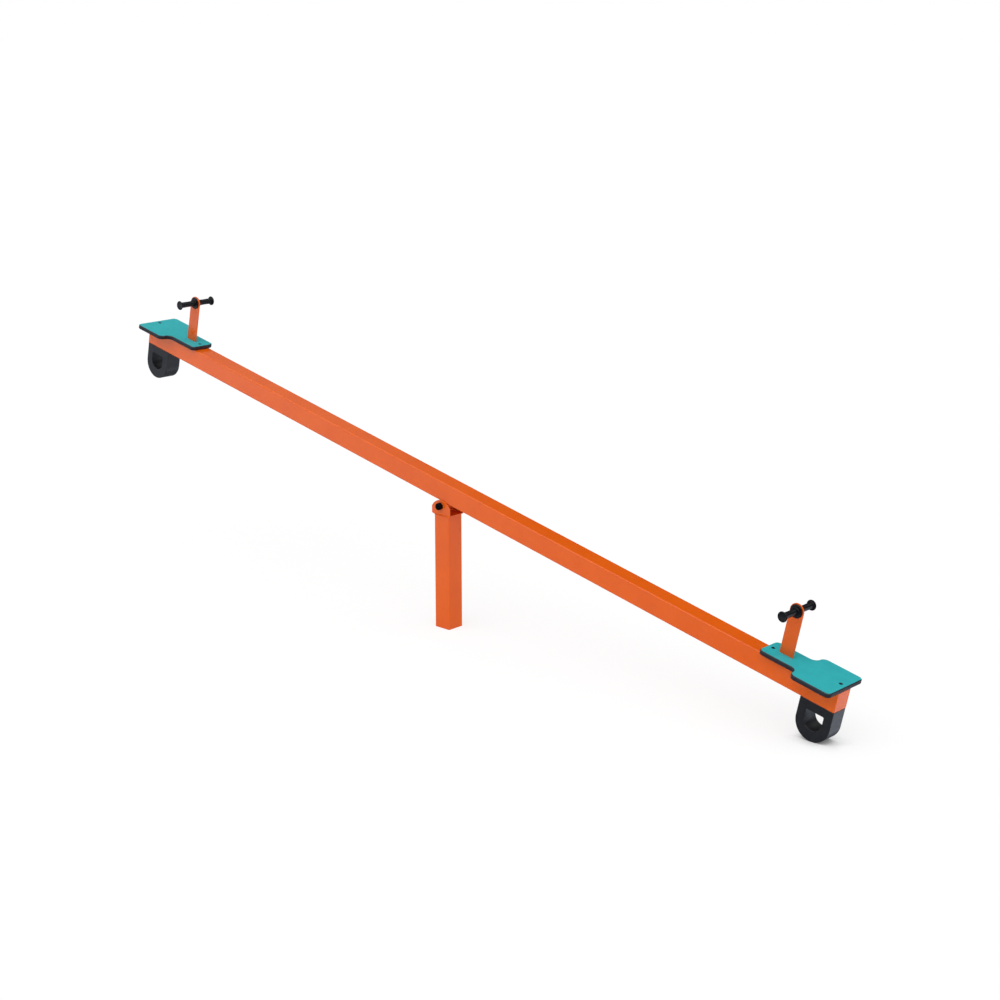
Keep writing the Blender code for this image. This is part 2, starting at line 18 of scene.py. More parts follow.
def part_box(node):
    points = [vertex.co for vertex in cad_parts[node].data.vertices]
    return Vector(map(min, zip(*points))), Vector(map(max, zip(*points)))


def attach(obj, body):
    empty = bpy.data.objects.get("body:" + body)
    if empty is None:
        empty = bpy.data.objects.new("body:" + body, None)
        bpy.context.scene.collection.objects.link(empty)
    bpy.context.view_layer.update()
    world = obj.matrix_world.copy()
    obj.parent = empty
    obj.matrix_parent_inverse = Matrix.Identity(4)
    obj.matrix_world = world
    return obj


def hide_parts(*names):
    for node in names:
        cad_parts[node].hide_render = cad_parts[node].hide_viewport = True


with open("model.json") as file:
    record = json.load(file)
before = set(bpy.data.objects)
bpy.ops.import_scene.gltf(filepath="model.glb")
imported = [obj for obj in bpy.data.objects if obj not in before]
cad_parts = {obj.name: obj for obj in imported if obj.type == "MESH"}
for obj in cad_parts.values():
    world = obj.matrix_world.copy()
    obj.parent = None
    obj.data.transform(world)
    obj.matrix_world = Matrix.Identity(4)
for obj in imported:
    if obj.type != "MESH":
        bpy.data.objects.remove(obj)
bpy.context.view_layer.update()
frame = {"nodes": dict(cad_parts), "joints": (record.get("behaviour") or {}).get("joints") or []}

# Camera
CAMERA_PLACE = (5.7332, -5.8638, 2.8152)
CAMERA_DIP = math.radians(15.284)
CAMERA_TURN = math.radians(42.782)
CAMERA_LENS = 70.61

# Light. Heights are the sine of a direction's elevation.
DOME_LIGHT = 1.46
DOME_START = 0.30  # where the dome starts to shine
DOME_FULL = 0.70
DOME_LEAN = 1.15  # how much brighter the dome is on the camera's side
DOME_SIDE = (0.514, -0.857, 0)
GLOW_LOW = (-0.36, 0.18)  # height and brightness of the sweep below the horizon, as glossy faces mirror it
GLOW_HIGH = (-0.19, 1.00)
GLOW_END = (-0.10, 0.10)  # where it fades into the dark part of the dome
GLOW_TINT = (0.92, 1.0, 1.14)
CARD_SIDE = (0.307, 0.790, -0.532)
CARD_EDGE = (0.94, 0.985)  # cosine of the angle from the middle of the card
CARD_LIGHT = 0.69
SKY_SIDE = (-0.70, 0.50, 0.51)  # a pale patch of sky, mirrored by the beam's top towards its high end
SKY_EDGE = (0.950, 0.980)
SKY_LIGHT = 0.29
FLOOR_SIZE = 120.0
FLOOR_SEEN = 0.26  # the floor's own shade for the camera, which sets how strong the shadows are
FLOOR_FILL = 0.73
FLOOR_PAINTED_SHADOW = 0.60  # painted contact shadow: how much darker the floor's glow is under a bumper that touches it
CONTACT_REACH = 0.14
CONTACT_SAMPLES = 4
CONTACT_OPEN = (0.30, 0.74)  # how open the floor's sky is where that shadow is full and where it ends
CONTACT_CLEAR = (0.4, 1.0)  # distance from the post, which casts no such shadow, over which it comes in
FLOOR_WHITE = 0.90  # shade and glow of the floor for the light that it throws on the object
FLOOR_BOUNCE = 0.23

# Facets
ARC_STEPS = 24
ROUND_STEPS = 64
SEAT_HOLE_STEPS = 36
STRIP_HOLE_STEPS = 32
CORNER_STEPS = 8
RIM_STEPS = 4
HEX_STEPS = 60
THREAD_STEPS = 24
THREAD_ROWS = 6  # for each turn of the thread
WAIST_STEPS = 12
SHARP = math.radians(35)

# Edges
TUBE_EDGE = 0.0004
PLATE_EDGE = 0.0010
END_EDGE = 0.0025  # the ground welds round the end plates
BOARD_CHAMFER = 0.0030
BOARD_BREAK = 0.0005
RUBBER_EDGE = 0.0014
WASHER_EDGE = 0.0004

# Shapes that a box of the CAD solid doesn't give
POST_CORNER = 0.005
POST_WALL = 0.004
BEAM_CORNER = 0.004
BEAM_WALL = 0.004
BEAM_BORE_CORNER = 0.001
BRACKET_PLATE = 0.004
BRACKET_BEND = 0.007
EAR_ARC = 0.060
NECK_HALF_WIDTH = 0.0625
STEP_START = 1.860
BOARD_CORNER = 0.020
SLOT_CLEARANCE = 0.0005
SCREW_HOLE = 0.0045
SCREW_LAND = 0.0004
BORE_WIDTH = 0.080
BORE_HEIGHT = 0.0745
BORE_CORNER = 0.004
BUMPER_ROOF = 0.037
SADDLE_FOOT = 0.044
SADDLE_REACH = math.radians(25)
GRIP_BODY = 0.0135
GRIP_WAIST = 0.0128
GRIP_FLANGE = 0.005
GRIP_DISC_RADIUS = 0.0215
GRIP_DISC = 0.0045
GRIP_FILLET = 0.0030
GRIP_DISH = 0.0012
DISH_STEPS = ((0.55, 1.0), (0.66, 0.6), (0.74, 0.0))  # shares of the disc's radius and of the dish's depth
HANDLE_WALL = 0.25  # share of the handle tube's radius
CAP_SKIN = 0.0013
CAP_DOME = 0.007
THREAD_DEPTH = 0.58  # share of the pitch
THREAD_TIP = 1.5  # length of the tip's chamfer, in thread depths
HEX_LAND = 0.475  # radius of a nut's flat face, as a share of its width across flats
HEX_CUT = math.radians(30)
HEX_MOUTH = 1.08  # a nut's bore at its faces, as a share of the bore
M8_PITCH = 0.00125
M8_RADIUS = 0.004
M8_SOCKET = 0.005
M8_SOCKET_DEPTH = 0.003
M16_PITCH = 0.002
M16_RADIUS = 0.008
M16_THREAD = 0.018
BUSH_SLEEVE = 0.012
BUSH_FLANGE = 0.0033

# Weld beads
BEAD_RADIUS = 0.0020
BEAD_RIPPLE = 0.0021
BEAD_SWELL = 0.10
BEAD_SIDES = 8
BEAD_STEPS = 5  # points along the bead for each ripple
BEAD_START = 0.3  # share of the radius that an open bead starts and stops with
STEEP = 0.9  # rise of a direction above which it counts as upright

# Colours, linear
ORANGE = (0.745, 0.114, 0.0045)
ORANGE_DEEP = (0.710, 0.103, 0.0040)
TEAL = (0.030, 0.400, 0.425)
TEAL_DEEP = (0.026, 0.372, 0.398)
CORE = (0.009, 0.008, 0.014)
CORE_WORN = (0.016, 0.014, 0.021)
RUBBER = (0.0045, 0.0050, 0.0065)
RUBBER_DUSTY = (0.0085, 0.0090, 0.0110)
PLASTIC = (0.0035, 0.0035, 0.0050)
PLASTIC_PALE = (0.0060, 0.0060, 0.0075)
CAP_DARK = (0.0018, 0.0018, 0.0028)
ZINC = (0.56, 0.57, 0.58)
ZINC_DULL = (0.42, 0.43, 0.44)
BLACKENED = (0.058, 0.082, 0.112)
BLACKENED_WORN = (0.095, 0.125, 0.160)
NYLON = (0.70, 0.68, 0.61)
NYLON_DEEP = (0.62, 0.60, 0.53)

# Grain of the rubber, as the squeeze along X, Y and Z: a small number makes lines along that axis
ALONG_EXTRUSION = (1, 0.04, 1)
ALONG_SAW = (0.08, 1, 1)
ALONG_EDGE = (0.05, 0.05, 1)  # the same for the cutter's lines on the boards' edges


# ---------------------------------------------------------------- places in the frame


def corners(node, axes=Matrix()):
    """Lowest and highest corner of a CAD node, in the given axes."""
    inverse = axes.inverted()
    points = [inverse @ vertex.co for vertex in frame["nodes"][node].data.vertices]
    return Vector(map(min, zip(*points))), Vector(map(max, zip(*points)))


def centre(node):
    """Middle of a CAD node's box in the frame."""
    low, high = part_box(node)
    return (low + high) / 2


def node_middle(node, axes):
    """The same in the given axes."""
    low, high = corners(node, axes)
    return (low + high) / 2


def flats(low, high):
    """Width across flats of a bolt head or nut that fills the box seen along its axis."""
    return min(high.x - low.x, high.y - low.y)


def beam_axes():
    """u from the high end to the low one, v along the axle, w square to both; the origin is on the axle."""
    hinge = frame["joints"][0]
    along = (centre("beam_end_plate_low") - centre("beam_end_plate_high")).normalized()
    across = Vector(hinge["axis"])
    made = Matrix((along, across, along.cross(across))).transposed().to_4x4()
    made.translation = hinge["pos_m"]
    return made


BEAM = beam_axes()
HALF_TURN = Matrix.Rotation(math.pi, 4, "Z")
UPSIDE_DOWN = Matrix.Rotation(math.pi, 4, "X")
FACING_Y = Matrix.Rotation(math.pi / 2, 4, "X")  # outlines stand in the plane of X and Z
FACING_X = Matrix(((0, 0, 1, 0), (1, 0, 0, 0), (0, 1, 0, 0), (0, 0, 0, 1)))
ALONG_Y = Matrix.Rotation(-math.pi / 2, 4, "X")  # turned shapes lie with their Z along Y
AXLE = Matrix.Translation(BEAM.translation)
OUTWARD = {"front": AXLE @ HALF_TURN @ ALONG_Y, "rear": AXLE @ ALONG_Y}
ENDS = {"low": BEAM, "high": BEAM @ HALF_TURN}


# ---------------------------------------------------------------- outlines


def arc(x, y, radius, start, end, steps=ARC_STEPS):
    """Points on an arc from start to end, in degrees."""
    angles = (math.radians(start + (end - start) * i / steps) for i in range(steps + 1))
    return [Vector((x + radius * math.cos(a), y + radius * math.sin(a))) for a in angles]


def circle(radius, x=0.0, y=0.0, steps=ROUND_STEPS):
    return arc(x, y, radius, 0, 360, steps)[:-1]


def rounded_box(width, height, radius, x=0.0, y=0.0, steps=CORNER_STEPS):
    """A rectangle about (x, y) with round corners, anticlockwise from its first quadrant."""
    points = []
    for turn, (side, level) in enumerate(((1, 1), (-1, 1), (-1, -1), (1, -1))):
        corner_x = x + side * (width / 2 - radius)
        corner_y = y + level * (height / 2 - radius)
        points += arc(corner_x, corner_y, radius, 90 * turn, 90 * turn + 90, steps)
    return points


def inset(loop, distance):
    """A loop that runs anticlockwise, moved inwards with its corners kept square."""
    moved = []
    for before, here, after in zip(loop[-1:] + loop[:-1], loop, loop[1:] + loop[:1]):
        first = (here - before).normalized()
        second = (after - here).normalized()
        inward = Vector((-first.y - second.y, first.x + second.x))
        moved.append(here + inward * distance / (1 + first.dot(second)))
    return moved


def rounded_rim(thickness, radius):
    """(inset, height) pairs up a plate's edge, with both rims rounded."""
    quarter = [math.radians(90 * i / RIM_STEPS) for i in range(RIM_STEPS + 1)]
    lower = [(radius * (1 - math.sin(a)), radius * (1 - math.cos(a))) for a in quarter]
    return lower + [(d, thickness - z) for d, z in reversed(lower)]


def bored_rim(thickness, radius):
    """The same for a hole, whose rims open outwards."""
    return [(-d, z) for d, z in rounded_rim(thickness, radius)]


def chamfered_rim(thickness, chamfer, softness):
    """(inset, height) pairs up an edge with a flat chamfer at both rims, its own edges a little soft."""
    near = [
        (chamfer, 0),
        (chamfer - softness / 2, softness / 4),
        (softness / 4, chamfer - softness / 2),
        (0, chamfer + softness / 3),
    ]
    return near + [(d, thickness - z) for d, z in reversed(near)]


# ---------------------------------------------------------------- meshes


def ring(shape, points):
    return [shape.verts.new(point) for point in points]


def bridge(shape, lower, upper, material=0):
    """Faces between two rings of vertices, either of which may be a single point."""
    count = max(len(lower), len(upper))
    for i in range(count):
        j = (i + 1) % count
        if len(lower) == 1:
            around = (lower[0], upper[j], upper[i])
        elif len(upper) == 1:
            around = (lower[i], lower[j], upper[0])
        else:
            around = (lower[i], lower[j], upper[j], upper[i])
        shape.faces.new(around).material_index = material


def loop_edges(shape, verts):
    return [shape.edges.get((a, b)) for a, b in zip(verts, verts[1:] + verts[:1])]


def finish_shape(shape):
    """The shape with all its faces turned outwards."""
    bmesh.ops.recalc_face_normals(shape, faces=shape.faces)
    return shape


def solid(*loops, rims=()):
    """A plate with its bottom face on z=0. Each loop, the outer one first, comes with its edge profile.

    rims gives the material of each loop's edge, if it isn't that of the faces.
    """
    shape = bmesh.new()
    bottom, top = [], []
    for number, (points, profile) in enumerate(loops):
        rim_material = rims[number] if rims else 0
        rings = [ring(shape, [(p.x, p.y, z) for p in inset(points, d)]) for d, z in profile]
        for lower, upper in zip(rings, rings[1:]):
            bridge(shape, lower, upper, rim_material)
        bottom += loop_edges(shape, rings[0])
        top += loop_edges(shape, rings[-1])
    for edges, facing in ((bottom, -1), (top, 1)):
        bmesh.ops.triangle_fill(shape, use_beauty=True, edges=edges, normal=(0, 0, facing))
    return finish_shape(shape)


def turned(profile, steps=ROUND_STEPS, closed=False):
    """(radius, height) points turned about Z. A closed profile makes a ring with a bore."""
    shape = bmesh.new()
    rings = []
    for radius, height in profile:
        if radius == 0:
            rings.append(ring(shape, [(0, 0, height)]))
        else:
            rings.append(ring(shape, [(p.x, p.y, height) for p in circle(radius, steps=steps)]))
    pairs = list(zip(rings, rings[1:]))
    if closed:
        pairs.append((rings[-1], rings[0]))
    for lower, upper in pairs:
        bridge(shape, lower, upper)
    return finish_shape(shape)


def hexagonal(across_flats, height, bore=0.0):
    """A bolt head or nut on z=0, its corners turned down by the usual cone at the far face."""
    land = HEX_LAND * across_flats
    steps = HEX_STEPS
    shape = bmesh.new()
    base, rim = [], []
    for i in range(steps):
        turn = 2 * math.pi * i / steps
        reach = across_flats / 2 / math.cos((turn + math.pi / 6) % (math.pi / 3) - math.pi / 6)
        fall = max(0.0, reach - land) * math.tan(HEX_CUT)
        x, y = reach * math.cos(turn), reach * math.sin(turn)
        base.append((x, y, 0))
        rim.append((x, y, height - fall))
    rings = [ring(shape, base), ring(shape, rim)]
    rings.append(ring(shape, [(p.x, p.y, height) for p in circle(land, steps=steps)]))
    if bore:
        edge = bore * HEX_MOUTH
        for radius, level in ((edge, height), (bore, height - edge + bore), (bore, edge - bore), (edge, 0)):
            rings.append(ring(shape, [(p.x, p.y, level) for p in circle(radius, steps=steps)]))
        rings.append(rings[0])
    else:
        rings.append(ring(shape, [(0, 0, height)]))
        rings.insert(0, ring(shape, [(0, 0, 0)]))
    for lower, upper in zip(rings, rings[1:]):
        bridge(shape, lower, upper)
    return finish_shape(shape)


def threaded(radius, pitch, start, end, plain_start):
    """A shank up Z: plain from plain_start to start, then a running thread to a chamfered tip at end."""
    depth = THREAD_DEPTH * pitch
    lead = THREAD_TIP * depth
    steps = THREAD_STEPS
    shape = bmesh.new()
    levels = int((end - start) / pitch * THREAD_ROWS)
    rings = [ring(shape, [(0, 0, plain_start)])]
    rings.append(ring(shape, [(p.x, p.y, plain_start) for p in circle(radius, steps=steps)]))
    for level in range(levels + 1):
        z = start + (end - start) * level / levels
        points = []
        for i in range(steps):
            phase = (z / pitch - i / steps) % 1
            groove = depth * (1 - abs(2 * phase - 1))
            tip = max(0.0, z - (end - lead)) / lead * depth
            run_out = min(1.0, (z - start) / pitch)
            reach = radius - max(groove * run_out, tip)
            turn = 2 * math.pi * i / steps
            points.append((reach * math.cos(turn), reach * math.sin(turn), z))
        rings.append(ring(shape, points))
    rings.append(ring(shape, [(0, 0, end)]))
    for lower, upper in zip(rings, rings[1:]):
        bridge(shape, lower, upper)
    return finish_shape(shape)


def bead(path, closed=True, radius=BEAD_RADIUS):
    """A weld bead along a path of points, with the ripples of its stacked drops."""
    points = even_points(path, closed, BEAD_RIPPLE / BEAD_STEPS)
    shape = bmesh.new()
    rings = []
    count = len(points)
    for i, here in enumerate(points):
        after = points[(i + 1) % count] if closed or i + 1 < count else here
        before = points[i - 1] if closed or i else here
        along = (after - before).normalized()
        side = along.orthogonal() if abs(along.z) > STEEP else along.cross((0, 0, 1))
        side = side.normalized()
        over = side.cross(along)
        drop = (i % BEAD_STEPS) / BEAD_STEPS
        swell = radius * (1 - BEAD_SWELL * (2 * drop - 1) ** 2)
        if not closed:
            swell *= min(1.0, BEAD_START + min(i, count - 1 - i) / BEAD_STEPS)
        around = circle(swell, steps=BEAD_SIDES)
        rings.append(ring(shape, [here + side * p.x + over * p.y for p in around]))
    if closed:
        rings.append(rings[0])
    for lower, upper in zip(rings, rings[1:]):
        bridge(shape, lower, upper)
    if not closed:
        shape.faces.new(rings[0])
        shape.faces.new(rings[-1])
    return finish_shape(shape)


def even_points(path, closed, spacing):
    """Points a spacing apart along straight runs between the path's points."""
    path = [Vector(point) for point in path]
    if closed:
        path.append(path[0])
    lengths = [(b - a).length for a, b in zip(path, path[1:])]
    total = sum(lengths)
    count = max(2, round(total / spacing))
    points = []
    run, passed = 0, 0.0
    for i in range(count if closed else count + 1):
        target = total * i / count
        while run < len(lengths) - 1 and passed + lengths[run] < target:
            passed += lengths[run]
            run += 1
        share = (target - passed) / lengths[run] if lengths[run] else 0
        points.append(path[run].lerp(path[run + 1], min(1.0, share)))
    return points


def moved(shape, *turns):
    """The shape after each matrix in turn, the last one first."""
    for matrix in reversed(turns):
        shape.transform(matrix)
    return shape


def up(distance):
    return Matrix.Translation((0, 0, distance))


def joined(*shapes):
    """Several closed shapes as the parts of one mesh."""
    whole = bmesh.new()
    for shape in shapes:
        mesh = bpy.data.meshes.new("part")
        shape.to_mesh(mesh)
        shape.free()
        whole.from_mesh(mesh)
        bpy.data.meshes.remove(mesh)
    return whole


def mesh_object(name, shape):
    mesh = bpy.data.meshes.new(name)
    shape.to_mesh(mesh)
    shape.free()
    made = bpy.data.objects.new(name, mesh)
    bpy.context.scene.collection.objects.link(made)
    return made


def combined(shape, others, operation):
    """The shape after a Boolean with each of the others."""
    holder = mesh_object("shape", shape)
    helpers = [mesh_object("helper", other) for other in others]
    for helper in helpers:
        change = holder.modifiers.new("Cut", "BOOLEAN")
        change.operation = operation
        change.object = helper
    bpy.context.view_layer.update()
    graph = bpy.context.evaluated_depsgraph_get()
    mesh = bpy.data.meshes.new_from_object(holder.evaluated_get(graph))
    made = bmesh.new()
    made.from_mesh(mesh)
    bpy.data.meshes.remove(mesh)
    for old in [holder, *helpers]:
        bpy.data.objects.remove(old, do_unlink=True)
    return made


def piece(name, shape, body, materials, nodes, edge=0.0):
    """One shown piece: it rides on its body and stands for its CAD nodes."""
    made = mesh_object(name, shape)
    for material in materials:
        made.data.materials.append(material)
    made.data.shade_smooth()
    made.data.set_sharp_from_angle(angle=SHARP)
    if edge:
        rounding = made.modifiers.new("Edges", "BEVEL")
        rounding.width = edge
        rounding.segments = 2
        rounding.limit_method = "ANGLE"
        rounding.angle_limit = SHARP
    normals = made.modifiers.new("Normals", "WEIGHTED_NORMAL")
    normals.keep_sharp = True
    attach(made, body)
    if nodes:
        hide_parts(*nodes)
    return made


def stand_in(node, shape, body, *materials, edge=0.0):
    """A piece that stands for one CAD node, named after it."""
    return piece(node + "_fine", shape, body, materials, [node], edge)


def weld(name, shape, body):
    """A bead of weld, which no CAD node stands for."""
    return piece(name, shape, body, [PAINT], [])


# ---------------------------------------------------------------- materials


class Tree:
    """Short ways to add nodes to a node tree."""

    def __init__(self, tree):
        self.tree = tree

    def node(self, kind, inputs=(), **settings):
        """A node with its settings. Each input is either linked or set to a value."""
        made = self.tree.nodes.new(kind)
        for key, value in settings.items():
            setattr(made, key, value)
        for name, value in dict(inputs).items():
            if isinstance(value, bpy.types.NodeSocket):
                self.tree.links.new(value, made.inputs[name])
            else:
                made.inputs[name].default_value = value
        return made

    def spread(self, value, low, high, start=0.35, end=0.65, curve="LINEAR"):
        """The value mapped from start..end, which by default is noise's usual range, to low..high."""
        inputs = {"Value": value, "From Min": start, "From Max": end, "To Min": low, "To Max": high}
        made = self.node("ShaderNodeMapRange", inputs, interpolation_type=curve)
        return made.outputs["Result"]

    def combine(self, operation, first, second):
        return self.node("ShaderNodeMath", {0: first, 1: second}, operation=operation).outputs[0]

    def vector(self, operation, first, second):
        return self.node("ShaderNodeVectorMath", {0: first, 1: second}, operation=operation).outputs

    def blend(self, share, first, second):
        """A colour between the two. The node keeps its colour sockets after those for numbers and vectors."""
        return self.node("ShaderNodeMix", {0: share, 6: first, 7: second}, data_type="RGBA").outputs[2]


class Finish(Tree):
    """A Principled material with procedural patterns in the frame's coordinates."""

    def __init__(self, name, **sockets):
        self.material = bpy.data.materials.new(name)
        self.material.use_nodes = True
        super().__init__(self.material.node_tree)
        self.shader = self.tree.nodes["Principled BSDF"]
        for socket, value in sockets.items():
            self.shader.inputs[socket.replace("_", " ")].default_value = value
        self.place = self.node("ShaderNodeTexCoord").outputs["Object"]

    def set(self, socket, value):
        self.tree.links.new(value, self.shader.inputs[socket])

    def noise(self, size, detail=2.0, place=None):
        """Noise whose features are about the given size."""
        inputs = {"Vector": place or self.place, "Scale": 1 / size, "Detail": detail}
        return self.node("ShaderNodeTexNoise", inputs).outputs["Fac"]

    def stretched(self, scale):
        """The frame's coordinates squeezed, so that a pattern is longer along some axes."""
        return self.node("ShaderNodeMapping", {"Vector": self.place, "Scale": scale}).outputs["Vector"]

    def colours(self, size, first, second, detail=3.0):
        """A base colour that drifts between two."""
        share = self.spread(self.noise(size, detail), 0, 1)
        self.set("Base Color", self.blend(share, (*first, 1), (*second, 1)))

    def roughness(self, size, low, high):
        self.set("Roughness", self.spread(self.noise(size), low, high))

    def bump(self, height, depth):
        """Adds to the bumps that the shader has so far."""
        inputs = {"Height": height, "Distance": depth}
        so_far = self.shader.inputs["Normal"].links
        if so_far:
            inputs["Normal"] = so_far[0].from_socket
        self.set("Normal", self.node("ShaderNodeBump", inputs).outputs["Normal"])


def orange_paint():
    """Glossy powder coat: a faint orange peel, and a slow drift in colour and gloss."""
    finish = Finish("orange powder coat")
    finish.colours(0.16, ORANGE, ORANGE_DEEP)
    finish.roughness(0.030, low=0.12, high=0.20)
    finish.bump(finish.noise(0.0022, detail=1.0), depth=0.00003)
    return finish.material


def teal_sheet():
    """The board's coloured face: fine-grained moulded polyethylene."""
    finish = Finish("teal polyethylene", Specular_IOR_Level=0.20)
    finish.colours(0.050, TEAL, TEAL_DEEP, detail=4.0)
    finish.roughness(0.012, low=0.42, high=0.52)
    finish.bump(finish.noise(0.0011), depth=0.00006)
    return finish.material


def black_core():
    """The board's milled edge, with the fine lines that the cutter leaves along it."""
    finish = Finish("black board core")
    finish.colours(0.020, CORE, CORE_WORN)
    finish.roughness(0.008, low=0.40, high=0.55)
    finish.bump(finish.noise(0.0016, place=finish.stretched(ALONG_EDGE)), depth=0.00006)
    return finish.material


def rubber(name, roughness, specular, grain):
    """Rubber with fine lines along its grain, over a finer texture."""
    finish = Finish(name, Specular_IOR_Level=specular)
    finish.colours(0.018, RUBBER, RUBBER_DUSTY, detail=5.0)
    finish.roughness(0.010, *roughness)
    finish.bump(finish.noise(0.0012, detail=3.0, place=finish.stretched(grain)), depth=0.00007)
    finish.bump(finish.noise(0.0007), depth=0.00003)
    return finish.material


def black_plastic(name, colours, roughness, specular):
    """Moulded plastic with a fine spark-eroded grain."""
    finish = Finish(name, Specular_IOR_Level=specular)
    finish.colours(0.010, *colours)
    finish.roughness(0.006, *roughness)
    finish.bump(finish.noise(0.0006), depth=0.00004)
    return finish.material


def metal(name, colours, roughness):
    """Plated or blackened steel, a little blotchy."""
    finish = Finish(name, Metallic=1.0)
    finish.colours(0.006, *colours, detail=4.0)
    finish.roughness(0.003, *roughness)
    finish.bump(finish.noise(0.0008, detail=3.0), depth=0.00002)
    return finish.material


def nylon():
    """Turned bushes in natural nylon."""
    finish = Finish("nylon")
    finish.colours(0.008, NYLON, NYLON_DEEP)
    finish.roughness(0.004, low=0.45, high=0.55)
    finish.bump(finish.noise(0.0010), depth=0.00003)
    return finish.material


PAINT = orange_paint()
SHEET = teal_sheet()
BOARD_CORE = black_core()
RUBBER_SKIN = rubber("rubber skin", roughness=(0.28, 0.38), specular=0.92, grain=ALONG_EXTRUSION)
RUBBER_CUT = rubber("rubber cut face", roughness=(0.32, 0.42), specular=0.42, grain=ALONG_SAW)
RUBBER_BORE = rubber("rubber bore", roughness=(0.44, 0.54), specular=0.72, grain=ALONG_EXTRUSION)
GRIP_BLACK = black_plastic("grip plastic", (PLASTIC, PLASTIC_PALE), roughness=(0.24, 0.33), specular=0.28)
CAP_BLACK = black_plastic("cap plastic", (CAP_DARK, PLASTIC), roughness=(0.30, 0.40), specular=0.02)
PLATED = metal("zinc plate", (ZINC, ZINC_DULL), roughness=(0.30, 0.42))
DARK = metal("blackened steel", (BLACKENED, BLACKENED_WORN), roughness=(0.36, 0.48))
BUSHING = nylon()


# ---------------------------------------------------------------- fasteners


def nut(node, axes, bore, body):
    """A hexagon nut in place of its CAD node, whose axis lies along the given axes' Z."""
    low, high = corners(node, axes)
    middle = node_middle(node, axes)
    shape = hexagonal(flats(low, high), high.z - low.z, bore)
    at = Matrix.Translation((middle.x, middle.y, low.z))
    stand_in(node, moved(shape, axes, at), body, PLATED)


def bolt_head(low, high, face):
    """The head of a bolt that points up, from the bearing face down to the bottom of its box."""
    return moved(hexagonal(flats(low, high), face - low.z), up(face), UPSIDE_DOWN)


# ---------------------------------------------------------------- post and pivot


def post():
    """The tube runs down to its foot plate without a seam, as the ground-flush weld leaves it."""
    low, high = corners("post_tube")
    plate_low, plate_high = corners("post_foot_plate")
    side = high.x - low.x
    outside = rounded_box(side, side, POST_CORNER)
    bore = rounded_box(side - 2 * POST_WALL, side - 2 * POST_WALL, POST_CORNER - POST_WALL)
    bracket_floor = corners("pivot_bracket")[0].z
    height = bracket_floor - plate_high.z
    plain = [(0, 0), (0, height)]
    tube = solid((outside, plain), (bore, plain))
    stand_in("post_tube", moved(tube, up(plate_high.z)), "root", PAINT)
    thickness = plate_high.z - plate_low.z
    foot = solid((outside, [(TUBE_EDGE, 0), (0, TUBE_EDGE), (0, thickness)]))
    stand_in("post_foot_plate", moved(foot, up(plate_low.z)), "root", PAINT)
    seam = [(p.x, p.y, bracket_floor) for p in inset(outside, -BEAD_RADIUS / 4)]
    weld("post_head_weld", bead(seam), "root")


def pivot_bracket():
    """Plate bent to a U; its ears are cut to a round top and bored for the axle."""
    low, high = corners("pivot_bracket")
    half = high.y
    inside = half - BRACKET_PLATE
    tip = high.z + EAR_ARC
    bend = BRACKET_BEND
    inner_bend = bend - BRACKET_PLATE
    steps = CORNER_STEPS
    outline = [Vector((-half, tip))]
    outline += arc(-half + bend, low.z + bend, bend, 180, 270, steps)
    outline += arc(half - bend, low.z + bend, bend, 270, 360, steps)
    outline += [Vector((half, tip)), Vector((inside, tip))]
    outline += arc(half - bend, low.z + bend, inner_bend, 360, 270, steps)
    outline += arc(-half + bend, low.z + bend, inner_bend, 270, 180, steps)
    outline += [Vector((-inside, tip))]
    length = high.x - low.x
    plain = [(0, 0), (0, 2 * length)]
    bent = moved(solid((outline, plain)), FACING_X, up(-length))
    side = high.x
    arc_centre = high.z - EAR_ARC
    spread = math.degrees(math.asin(side / EAR_ARC))
    foot = low.z - PLATE_EDGE
    ears = [Vector((side, low.z + bend))]
    ears += arc(0, arc_centre, EAR_ARC, 90 - spread, 90 + spread)
    ears += [Vector((-side, low.z + bend)), Vector((-side + bend, foot)), Vector((side - bend, foot))]
    width = 4 * half
    through = [(0, 0), (0, width)]
    shape = moved(solid((ears, through)), FACING_Y, up(-width / 2))
    hole = moved(solid((circle(M16_RADIUS + SLOT_CLEARANCE), through)), AXLE, FACING_Y, up(-width / 2))
    trimmed = combined(combined(bent, [shape], "INTERSECT"), [hole], "DIFFERENCE")
    stand_in("pivot_bracket", trimmed, "root", PAINT, edge=PLATE_EDGE / 2)


def axle():
    """Bolt, washers, nut and the two snap-on caps."""
    for name, outward in OUTWARD.items():
        low, high = corners(f"axle_washer_{name}", outward)
        rim = rounded_rim(high.z - low.z, WASHER_EDGE)
        hole = bored_rim(high.z - low.z, WASHER_EDGE)
        washer = solid((circle(high.x), rim), (circle(M16_RADIUS + SLOT_CLEARANCE), hole))
        stand_in(f"axle_washer_{name}", moved(washer, outward, up(low.z)), "root", PLATED)
        low, high = corners(f"axle_cap_{name}", outward)
        cap = turned(cap_profile(high.x, high.z - low.z))
        stand_in(f"axle_cap_{name}", moved(cap, outward, up(low.z)), "root", CAP_BLACK)
    rear = OUTWARD["rear"]
    nut("axle_nut", rear, M16_RADIUS, "root")
    low, high = corners("axle_bolt", rear)
    washer_face = corners("axle_washer_front", rear)[0].z
    head = bolt_head(low, high, washer_face)
    shank = threaded(M16_RADIUS, M16_PITCH, high.z - M16_THREAD, high.z, washer_face)
    stand_in("axle_bolt", moved(joined(head, shank), rear), "root", PLATED)


